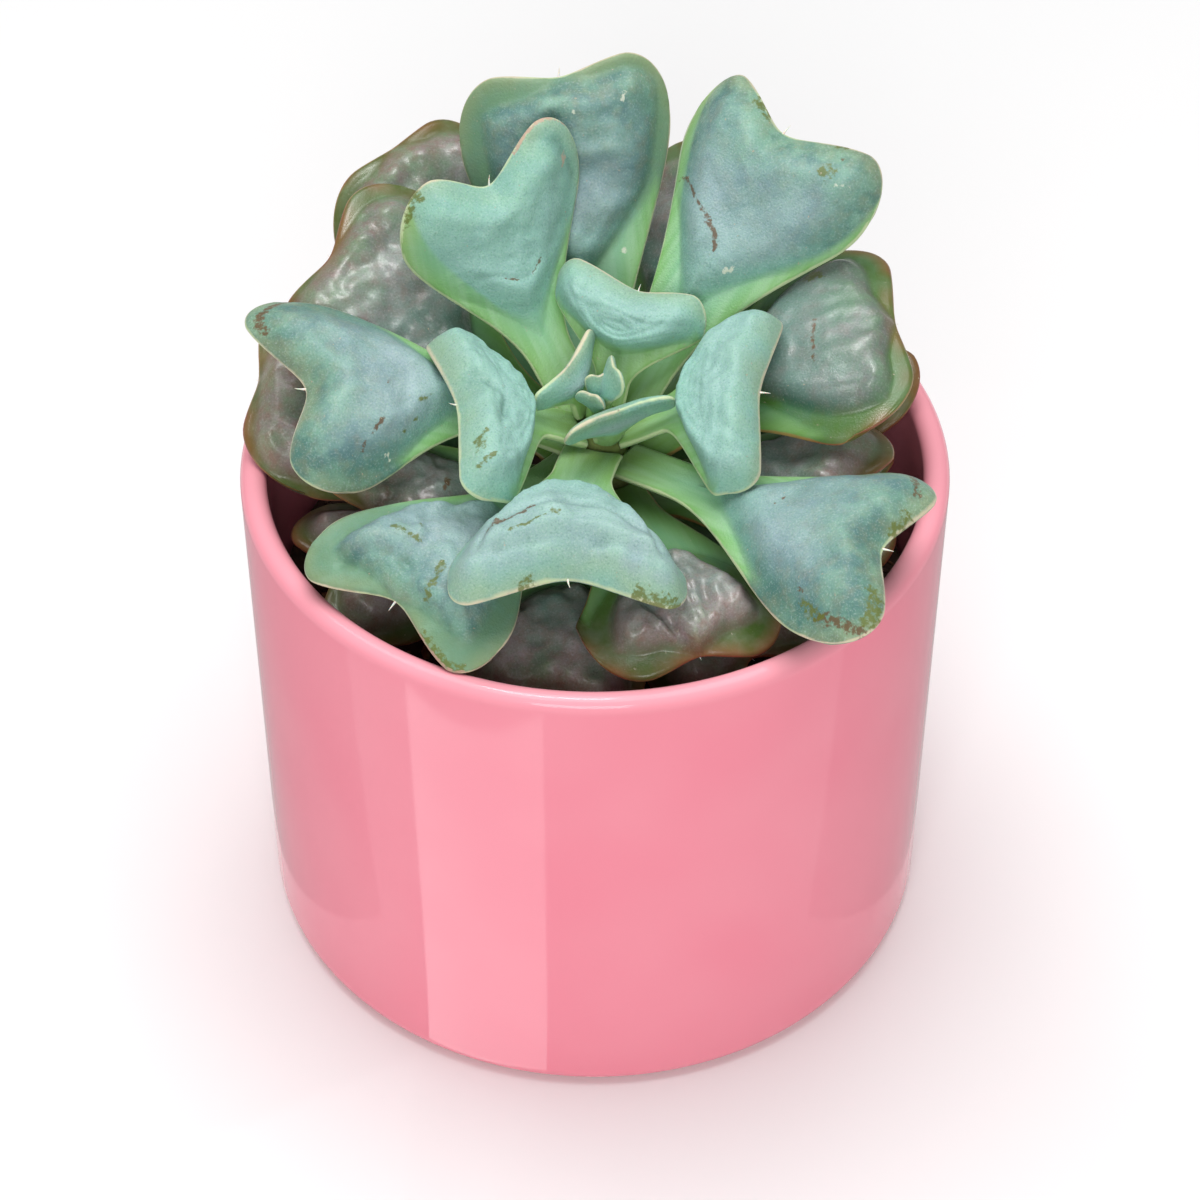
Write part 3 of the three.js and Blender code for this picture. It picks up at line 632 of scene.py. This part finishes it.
def leafMaterial(old):
    skin = {key: pair[old] for key, pair in leafSkins.items()}
    tint = {key: hexColor(pair[old]) for key, pair in leafColors.items()}
    tint.update({key: hexColor(color) for key, color in markColors.items()})
    material, add = newMaterial(skin["name"])
    place = add("ShaderNodeTexCoord").outputs["Object"]
    read = {key: add("ShaderNodeAttribute", attribute_name=key).outputs["Fac"] for key in (
        "bloom", "fromEdge", "lilac", "tipward", "ridge", "flange", "age", "alongLeaf", "acrossLeaf", *markColors)}
    broad, patchy, mottle, frayed, dust = (add("ShaderNodeTexNoise", {
        "Vector": place, "Scale": 1 / (size * mm), "Detail": detail, "Roughness": 0.6})
        for size, detail in ((11, 1.0), (5, 3.0), (2.2, 4.0), (0.9, 3.0), (0.35, 1.0)))  # mm
    stretched = add("ShaderNodeMath", {0: read["alongLeaf"], 1: 0.1}, operation="MULTIPLY")
    lengthwise = add("ShaderNodeCombineXYZ", {"X": read["acrossLeaf"], "Y": stretched})
    streaks = add("ShaderNodeTexNoise", {"Vector": lengthwise, "Scale": 0.55, "Detail": 2.0})

    uneven = add("ShaderNodeMapRange", {
        "Value": patchy, "From Min": 0.3, "From Max": 0.7, "To Min": -skin["patchy"], "To Max": skin["patchy"]})
    aged = add("ShaderNodeMath", {0: uneven, 1: read["age"]}, operation="ADD", use_clamp=True)
    rustPatch = add("ShaderNodeMapRange", {"Value": broad, "From Min": 0.36, "From Max": 0.54, "To Min": 0.15})
    ragged = add("ShaderNodeMath", {0: mottle, 1: 0.3, 2: read["bloom"]}, operation="MULTIPLY_ADD")
    covered = add("ShaderNodeMapRange", {
        "Value": ragged, "From Min": 0.2, "From Max": 0.95}, interpolation_type="SMOOTHSTEP")
    dusty = add("ShaderNodeMath", {
        0: read["flange"], 1: -0.9, 2: covered}, operation="MULTIPLY_ADD", use_clamp=True)
    fromLine = add("ShaderNodeMath", {0: patchy, 1: 0.5, 2: read["fromEdge"]}, operation="MULTIPLY_ADD")
    lineWidth = add("ShaderNodeMapRange", {"Value": covered, "To Min": 0.66, "To Max": 0.46})  # mm
    inLine = add("ShaderNodeMath", {0: lineWidth, 1: fromLine}, operation="SUBTRACT")
    torn = {mark: add("ShaderNodeMath", {
        0: frayed, 1: 3.0, 2: read[mark]}, operation="MULTIPLY_ADD") for mark in markColors}
    layCoats(add, tint, [
        # the bare strap: hazy along its middle, greener at its sides, yellower towards the stem
        ("strap", "strapSide", "strap", read["fromEdge"], 0.5, 4.5, 0, 1),
        ("strap", "strap", "strapDeep", read["alongLeaf"], 17, 3, 0, 1),
        ("strap", "strap", "streak", streaks, 0.4, 0.75, 0, 0.4),
        # the blade, from fresh to aged, with its lilac cast, rubbed patches, painted shade in the creases, a painted
        # highlight on the swellings, and stains
        ("fresh", "blade", "lilac", broad, 0.35, 0.6, 0.75, 1, read["lilac"]),
        ("agedBlade", "bladeAged", "lilacAged", broad, 0.35, 0.6, 0.75, 1, read["lilac"]),
        ("skin", "fresh", "agedBlade", aged, 0, 1, 0, 1),
        ("skin", "skin", "green", patchy, 0.62, 0.38, 0, 0.6, read["tipward"]),
        # painted shade in the creases: darker where the relief dips
        ("skin", "skin", "deep", read["ridge"], -0.05, -0.9, 0, skin["creaseShadeShare"]),
        # painted highlight on the swellings: lighter where the relief rises
        ("skin", "skin", "tops", read["ridge"], 0.1, 0.9, 0, skin["raised"]),
        ("skin", "skin", "stain", mottle, 0.45, 0.68, 0, skin["mottled"], aged),
        ("flange", "flange", "flangeAged", aged, 0, 1, 0, 1),
        ("skin", "skin", "flange", patchy, 0.35, 0.6, 0.55, 1, read["flange"]),
        ("skin", "strap", "skin", covered, 0, 1, 0, 1),
        ("skin", "skin", "rust", read["fromEdge"], 2.8, 0.4, 0, skin["rusty"], rustPatch, read["tipward"]),
        ("skin", "skin", "powder", dust, 0.54, 0.72, 0, 0.18, dusty),
        ("skin", "skin", "pit", dust, 0.42, 0.28, 0, 0.3, dusty),
        # the thin line along the margin, then old wounds healed over as cork, stains and scratches
        ("margin", "margin", "marginPink", broad, 0.4, 0.52, 0, 1, covered),
        ("skin", "skin", "margin", inLine, 0, 0.2, 0, 0.85),
        *(("skin", "skin", mark, torn[mark], 2.1, 2.55, 0, 0.85) for mark in markColors),
    ])

    bare, powdered = skin["roughness"]
    rough = add("ShaderNodeMapRange", {"Value": covered, "To Min": bare, "To Max": powdered})
    pores = add("ShaderNodeMath", {0: mottle, 1: 0.8, 2: dust}, operation="MULTIPLY_ADD")
    bumpy = add("ShaderNodeBump", {"Height": pores, "Strength": skin["grain"], "Distance": 0.28 * mm})
    shader = add("ShaderNodeBsdfPrincipled", {
        "Base Color": tint["skin"], "Roughness": rough, "IOR": 1.42, "Specular IOR Level": skin["gloss"],
        "Normal": bumpy, "Subsurface Weight": 0.12, "Subsurface Radius": (0.6, 1.0, 0.35),
        "Subsurface Scale": 1.5 * mm, "Sheen Weight": skin["sheen"], "Sheen Roughness": 0.45,
        "Sheen Tint": hexColor("dfe8f2")})
    add("ShaderNodeOutputMaterial", {"Surface": shader})
    return material


def makeLeaves(materials):
    notches = []
    top, linear, squared = rosette["roots"]
    stemHeights, stemRadii = zip(*rosette["stem"])
    for n, (*row, differing) in enumerate(leaves):
        aged = n >= bladeGrid["oldFrom"]
        leaf = {**usualLeaf, **(agedLeaf if aged else {}), **dict(zip(leafColumns, row)), **differing,
                **marks.get(n + 1, {})}
        azimuth = rosette["firstAzimuth"] + rosette["goldenAngle"] * n + leaf["azimuth"]
        rootHeight = top - linear * n - squared * n * n
        rootRadius = float(np.interp(rootHeight - rosette["seatBelow"], stemHeights, stemRadii)) + rosette["seatGap"]
        rows, columns = bladeGrid["upper" if n < bladeGrid["upperCount"] else "lower"]
        points, faces, looks, notch = leafShell(leaf, rootHeight, azimuth, rows, columns, rootRadius)
        blade = meshPiece(f"leafBlade_{n + 1:02d}", tipped(points), faces, materials[aged], looks)
        settle(blade, "old_leaf" if aged else "leaf", f"leaf_{n + 1:02d}")
        notches.append(notch)
    return notches


leafMaterials = [leafMaterial(old) for old in (0, 1)]
notches = makeLeaves(leafMaterials)
print("leaves", len(notches))

# ---- growing tip ----

tipBuds = {
    "grid": (36, 26),
    "seat": (108, 2.4),  # height and radius of the stem's top
    "sides": 32,
    "root": (2.2, 0.6),  # above the seat, and from the axis
    "usual": {"notch": 0.5, "pillow": 0.6, "dome": 0.8, "channel": 0.3, "keel": 0.6, "start": 0.16, "base": 1.3,
              "lumps": 0.05, "crinkle": 0.02, "bloomed": 0.95},
    "buds": [
        {"azimuth": -11, "reach": 2.6, "height": 119.5, "rise": 80, "droop": 80, "halfWidth": 4, "sway": 1.6},
        {"reach": 2.8, "height": 118, "rise": 82, "droop": 84, "halfWidth": 2.6, "sway": -0.4},
        {"reach": 1.8, "height": 117, "rise": 82, "droop": 84, "halfWidth": 2.2, "sway": -0.5, "notch": 0.4,
         "dome": 0.6},
    ],
}


# Closed faces round the axis, from a profile of (radius, height) with both ends on the axis.
def turnedShell(profile, sides):
    angles = np.linspace(0, 2 * math.pi, sides, endpoint=False)
    inner = profile[1:-1]
    points = [(r * math.cos(a), r * math.sin(a), z) for r, z in inner for a in angles]
    points += [(0, 0, profile[0][1]), (0, 0, profile[-1][1])]
    low, high = len(points) - 2, len(points) - 1
    last = (len(inner) - 1) * sides
    faces = []
    for k in range(sides):
        k2 = (k + 1) % sides
        faces += [(low, k2, k), (high, last + k, last + k2)]
        for i in range(0, last, sides):
            faces.append((i + k, i + k2, i + sides + k2, i + sides + k))
    return np.array(points), faces


def makeGrowingTip(material):
    height, radius = tipBuds["seat"]
    rootRise, rootRadius = tipBuds["root"]
    core = [(0, 1.4), (radius, 0.6), (radius * 0.95, 1.6), (radius * 0.7, 4), (0.8, 5.1), (0, 5.5)]
    points, faces = turnedShell([(r, height + z) for r, z in core], tipBuds["sides"])
    looks = None
    for n, row in enumerate(tipBuds["buds"]):
        bud = {**usualLeaf, **tipBuds["usual"], **row}
        azimuth = rosette["firstAzimuth"] - rosette["goldenAngle"] * (n + 1) + bud["azimuth"]
        budPoints, budFaces, budLooks, notch = leafShell(
            bud, height + rootRise, azimuth, *tipBuds["grid"], rootRadius)
        if looks is None:  # the core between the buds is bare and far from any margin
            looks = {key: np.full(len(points), 9.0 if key == "fromEdge" else 0.0) for key in budLooks}
        faces += [tuple(k + len(points) for k in face) for face in budFaces]
        points = np.concatenate([points, budPoints])
        looks = {key: np.concatenate([looks[key], budLooks[key]]) for key in looks}
    settle(meshPiece("growingTipBuds", tipped(points), faces, material, looks), "leaf", "growing_tip")


makeGrowingTip(leafMaterials[0])
print("growing tip")

# ---- stem ----

# Firm green stem, corky where old leaves have dropped: matt, with a low band under each leaf's seat.
stemBark = {
    "green": "8c9a58",
    "cork": "7d6a48",
    "sides": 56,
    "step": 0.4,  # mm
    "bandSpacing": 2.4,  # mm
    "bandHeight": 0.18,  # mm
    "corkBelow": 86,  # mm above the table
    "ragged": 24,  # mm, how far the fibres shift that height
}


def makeStem():
    material, add = newMaterial("greenStemBark")
    place = add("ShaderNodeTexCoord").outputs["Object"]
    fibre = add("ShaderNodeTexNoise", {"Vector": place, "Scale": 1 / (1.4 * mm), "Detail": 4.0})
    height = add("ShaderNodeSeparateXYZ", {"Vector": place}).outputs["Z"]
    shifted = add("ShaderNodeMath", {
        0: fibre, 1: stemBark["ragged"] * mm, 2: height}, operation="MULTIPLY_ADD")
    green, corky = ((stemBark["corkBelow"] + over) * mm for over in (stemBark["ragged"], 6))
    tint = {key: hexColor(stemBark[key]) for key in ("green", "cork")}
    layCoats(add, tint, [("bark", "green", "cork", shifted, green, corky, 0, 1)])
    bumpy = add("ShaderNodeBump", {"Height": fibre, "Strength": 0.5, "Distance": 0.4 * mm})
    shader = add("ShaderNodeBsdfPrincipled", {"Base Color": tint["bark"], "Roughness": 0.7, "Normal": bumpy})
    add("ShaderNodeOutputMaterial", {"Surface": shader})

    stemHeights, stemRadii = zip(*rosette["stem"])
    low, high = stemHeights[0], stemHeights[-1]
    heights = np.arange(low, high + 0.01, stemBark["step"])
    band = np.abs(np.sin(heights * math.pi / stemBark["bandSpacing"])) * stemBark["bandHeight"]
    radii = np.interp(heights, stemHeights, stemRadii) - stemBark["bandHeight"] + band
    points, faces = turnedShell([(0, low), *zip(radii, heights), (0, high + 1)], stemBark["sides"])
    settle(meshPiece("stemBark", tipped(points), faces, material), "stem", "stem")


makeStem()
print("stem")

# ---- soil ----

# Bark and peat potting mix: dull, dark and coarse, with pale bark chips and a few white perlite grains.
soilMix = {
    "radius": 54.2,
    "bottom": 6.3,
    "round": 5,
    "heights": (66.0, 67.6),  # at the edge and in the middle
    "rings": 70, "sides": 150,
    "relief": 0.8, "sunk": 0.6,
    "strewnTo": 52,  # from the axis
    "peat": ("2b1d16", "4a3426"),
    "crumbs": {"perSquare": 110000, "sizes": (0.5, 1.5), "flat": 0.75, "seed": 4, "colors": ("33231a", "5b4130")},
    "barkChips": {
        "perSquare": 22000, "sizes": (1.0, 2.4), "flat": 0.35, "seed": 9, "colors": ("5d3c27", "8f6644")},
    "perliteGrains": {
        "perSquare": 7000, "sizes": (0.6, 1.3), "flat": 0.85, "seed": 15, "colors": ("c9c3b8", "ece7dd")},
    "dent": (1.1, 0.9),  # width and depth of the grains' dents
}


def earthMaterial(name, colors, size, roughness=0.95):
    material, add = newMaterial(name)
    place = add("ShaderNodeTexCoord").outputs["Object"]
    clods = add("ShaderNodeTexNoise", {"Vector": place, "Scale": 1 / (size * mm), "Detail": 5.0})
    tint = dict(zip(("dark", "light"), map(hexColor, colors)))
    layCoats(add, tint, [("earth", "dark", "light", clods, 0.35, 0.68, 0, 1)])
    bumpy = add("ShaderNodeBump", {"Height": clods, "Strength": 0.8, "Distance": 0.5 * mm})
    shader = add("ShaderNodeBsdfPrincipled", {
        "Base Color": tint["earth"], "Roughness": roughness, "Normal": bumpy})
    add("ShaderNodeOutputMaterial", {"Surface": shader})
    return material


def makeSoil():
    radius, bottom, corner = soilMix["radius"], soilMix["bottom"], soilMix["round"]
    edge, crown = soilMix["heights"]
    rings = np.linspace(0, radius, soilMix["rings"])[::-1]
    mound = np.interp(rings / radius, [0, 0.2, 0.6, 1], [crown, crown, between(edge, crown, 0.7), edge])
    profile = [(0, bottom), *arc(radius - corner, bottom + corner, corner, -90, 0, 6),
               *zip(rings[:-1], mound[:-1]), (0, mound[-1])]
    points, faces = turnedShell(profile, soilMix["sides"])
    bumps = softNoise(points, 5, 2) * 0.7 + softNoise(points, 2.2, 3) * 0.5
    onTop = points[:, 2] > edge - 6
    points[:, 2] += np.where(onTop, bumps * soilMix["relief"] - soilMix["sunk"], 0)
    soil = meshPiece("pottingSoil", points, faces, earthMaterial("pottingPeat", soilMix["peat"], 2.4))
    settle(soil, "soil", "soil")
    return soil


# A geometry tree that takes a mesh and some numbers, with what adds a node to it, the numbers' identifiers and
# what they give inside.
def growthTree(name, ground, numbers, result):
    tree = bpy.data.node_groups.new(name, "GeometryNodeTree")
    tree.interface.new_socket(ground, in_out="INPUT", socket_type="NodeSocketGeometry")
    sockets = {number: tree.interface.new_socket(
        number, in_out="INPUT", socket_type="NodeSocketFloat").identifier for number in numbers}
    tree.interface.new_socket(result, in_out="OUTPUT", socket_type="NodeSocketGeometry")
    add = partial(addNode, tree)
    return tree, add, sockets, add("NodeGroupInput").outputs


def growPiece(name, mesh, slot, tree, sockets, numbers):
    piece = newPiece(name, mesh)
    grow = piece.modifiers.new("grow", "NODES")
    grow.node_group = tree
    for number, value in numbers.items():
        grow[sockets[number]] = float(value)
    plainMesh(piece)
    settle(piece, slot)
    print(name, len(piece.data.polygons))


def makeGrains(name, soil):  # small lumps strewn over the soil's top faces
    grains = soilMix[name]
    least, most = grains["sizes"]
    dentSize, dentDepth = soilMix["dent"]
    numbers = {"Per Square": grains["perSquare"], "Least Size": least * mm, "Most Size": most * mm,
               "Flatness": grains["flat"]}
    tree, add, sockets, given = growthTree("strewnGrains", "Ground", numbers, "Grains")
    seed = grains["seed"]
    facing = add("ShaderNodeSeparateXYZ", {"Vector": add("GeometryNodeInputNormal")})
    position = add("GeometryNodeInputPosition")
    spot = add("ShaderNodeSeparateXYZ", {"Vector": position}).outputs
    squares = [add("ShaderNodeMath", {0: spot[axis], 1: spot[axis]}, operation="MULTIPLY") for axis in "XY"]
    outFar = add("ShaderNodeMath", dict(enumerate(squares)), operation="ADD")
    onTop = add("FunctionNodeCompare", {
        "A": facing.outputs["Z"], "B": 0.5}, data_type="FLOAT", operation="GREATER_THAN")
    within = add("FunctionNodeCompare", {
        "A": outFar, "B": (soilMix["strewnTo"] * mm) ** 2}, data_type="FLOAT", operation="LESS_THAN")
    spots = add("GeometryNodeDistributePointsOnFaces", {
        "Mesh": given["Ground"], "Density": given["Per Square"], "Seed": seed,
        "Selection": add("FunctionNodeBooleanMath", {0: onTop, 1: within}, operation="AND")})
    size = add("FunctionNodeRandomValue", {
        "Min": given["Least Size"], "Max": given["Most Size"], "Seed": seed + 1}, data_type="FLOAT").outputs[1]
    squash = add("ShaderNodeMath", {0: size, 1: given["Flatness"]}, operation="MULTIPLY")
    scale = add("ShaderNodeCombineXYZ", {"X": size, "Y": squash, "Z": squash})
    turn = add("FunctionNodeRandomValue", {
        0: (-0.5, -0.5, 0), 1: (0.5, 0.5, 6.28), "Seed": seed + 2}, data_type="FLOAT_VECTOR").outputs[0]
    lump = add("GeometryNodeMeshIcoSphere", {"Radius": 1.0, "Subdivisions": 1}).outputs["Mesh"]
    strewn = add("GeometryNodeInstanceOnPoints", {
        "Points": spots.outputs["Points"], "Instance": lump, "Rotation": turn, "Scale": scale})
    real = add("GeometryNodeRealizeInstances", {"Geometry": strewn})
    wobble = add("ShaderNodeTexNoise", {
        "Vector": position, "Scale": 1 / (dentSize * mm), "Detail": 1.0}).outputs["Color"]
    centred = add("ShaderNodeVectorMath", {0: wobble, 1: (0.5, 0.5, 0.5)}, operation="SUBTRACT")
    push = add("ShaderNodeVectorMath", {0: centred, 1: (dentDepth * mm,) * 3}, operation="MULTIPLY")
    bent = add("GeometryNodeSetPosition", {"Geometry": real, "Offset": push})
    done = add("GeometryNodeSetMaterial", {
        "Geometry": bent, "Material": earthMaterial(name, grains["colors"], 1.5, 0.85)})
    add("NodeGroupOutput", {"Grains": done})
    growPiece(name, soil.data.copy(), "soil", tree, sockets, numbers)


soil = makeSoil()
for name in ("crumbs", "barkChips", "perliteGrains"):
    makeGrains(name, soil)
print("soil")

# ---- bristles ----

# The leaf's tip ends in a dry white bristle at the notch, thin enough that light passes through it.
bristle = {
    "size": {"Length": 2.1, "Base Radius": 0.24, "Tip Radius": 0.03},
    "bend": 0.16,
    "sunk": 0.3,  # how deep it stands in the notch
    "young": (0.45, 0.12),  # scale on the youngest leaf, and what each further leaf adds, up to 1
    "old": 0.4,  # worn down
    "colors": ("f1ece0", "c9a88c"),
}


def makeBristles(notches):
    material, add = newMaterial("dryWhiteBristle")
    place = add("ShaderNodeTexCoord").outputs["Object"]
    mottle = add("ShaderNodeTexNoise", {"Vector": place, "Scale": 1 / (0.8 * mm)})
    tint = dict(zip(("white", "tan"), map(hexColor, bristle["colors"])))
    layCoats(add, tint, [("bristle", "white", "tan", mottle, 0.5, 0.8, 0, 0.6)])
    shader = add("ShaderNodeBsdfPrincipled", {
        "Base Color": tint["bristle"], "Roughness": 0.45, "Subsurface Weight": 0.3, "Subsurface Scale": 0.4 * mm})
    add("ShaderNodeOutputMaterial", {"Surface": shader})

    numbers = {**{key: value * mm for key, value in bristle["size"].items()}, "Bend": bristle["bend"]}
    tree, add, sockets, given = growthTree("notchBristles", "Notches", numbers, "Bristles")
    spike = add("GeometryNodeMeshCone", {
        "Vertices": 8, "Side Segments": 6, "Radius Top": given["Tip Radius"],
        "Radius Bottom": given["Base Radius"], "Depth": given["Length"]})
    spot = add("ShaderNodeSeparateXYZ", {"Vector": add("GeometryNodeInputPosition")})
    risen = add("ShaderNodeMath", {0: spot.outputs["Z"], 1: given["Length"]}, operation="DIVIDE")
    squared = add("ShaderNodeMath", {0: risen, 1: 2.0}, operation="POWER")
    furthest = add("ShaderNodeMath", {0: given["Length"], 1: given["Bend"]}, operation="MULTIPLY")
    lean = add("ShaderNodeMath", {0: squared, 1: furthest}, operation="MULTIPLY")
    curved = add("GeometryNodeSetPosition", {
        "Geometry": spike.outputs["Mesh"], "Offset": add("ShaderNodeCombineXYZ", {"X": lean})})
    heading = add("GeometryNodeInputNamedAttribute", {"Name": "heading"}, data_type="FLOAT_VECTOR")
    size = add("GeometryNodeInputNamedAttribute", {"Name": "size"}, data_type="FLOAT")
    facing = add("FunctionNodeAlignRotationToVector", {"Vector": heading}, axis="Z")
    placed = add("GeometryNodeInstanceOnPoints", {
        "Points": given["Notches"], "Instance": curved, "Rotation": facing, "Scale": size})
    real = add("GeometryNodeRealizeInstances", {"Geometry": placed})
    smooth = add("GeometryNodeSetShadeSmooth", {"Geometry": real})
    done = add("GeometryNodeSetMaterial", {"Geometry": smooth, "Material": material})
    add("NodeGroupOutput", {"Bristles": done})

    spots, headings = (np.array(values) for values in zip(*notches))
    headings = tipped(headings) - tipped(np.zeros((1, 3)))
    first, growth = bristle["young"]
    sizes = [min(1, first + growth * n) if n < bladeGrid["oldFrom"] else bristle["old"] for n in range(len(notches))]
    mesh = bpy.data.meshes.new("notchBristles")
    mesh.from_pydata([tuple(p) for p in (tipped(spots) - headings * bristle["sunk"]) * mm], [], [])
    layer = mesh.attributes.new("heading", "FLOAT_VECTOR", "POINT")
    layer.data.foreach_set("vector", headings.astype(np.float32).ravel())
    mesh.attributes.new("size", "FLOAT", "POINT").data.foreach_set("value", sizes)
    growPiece("notchBristles", mesh, "leaf", tree, sockets, numbers)


makeBristles(notches)
print("bristles")
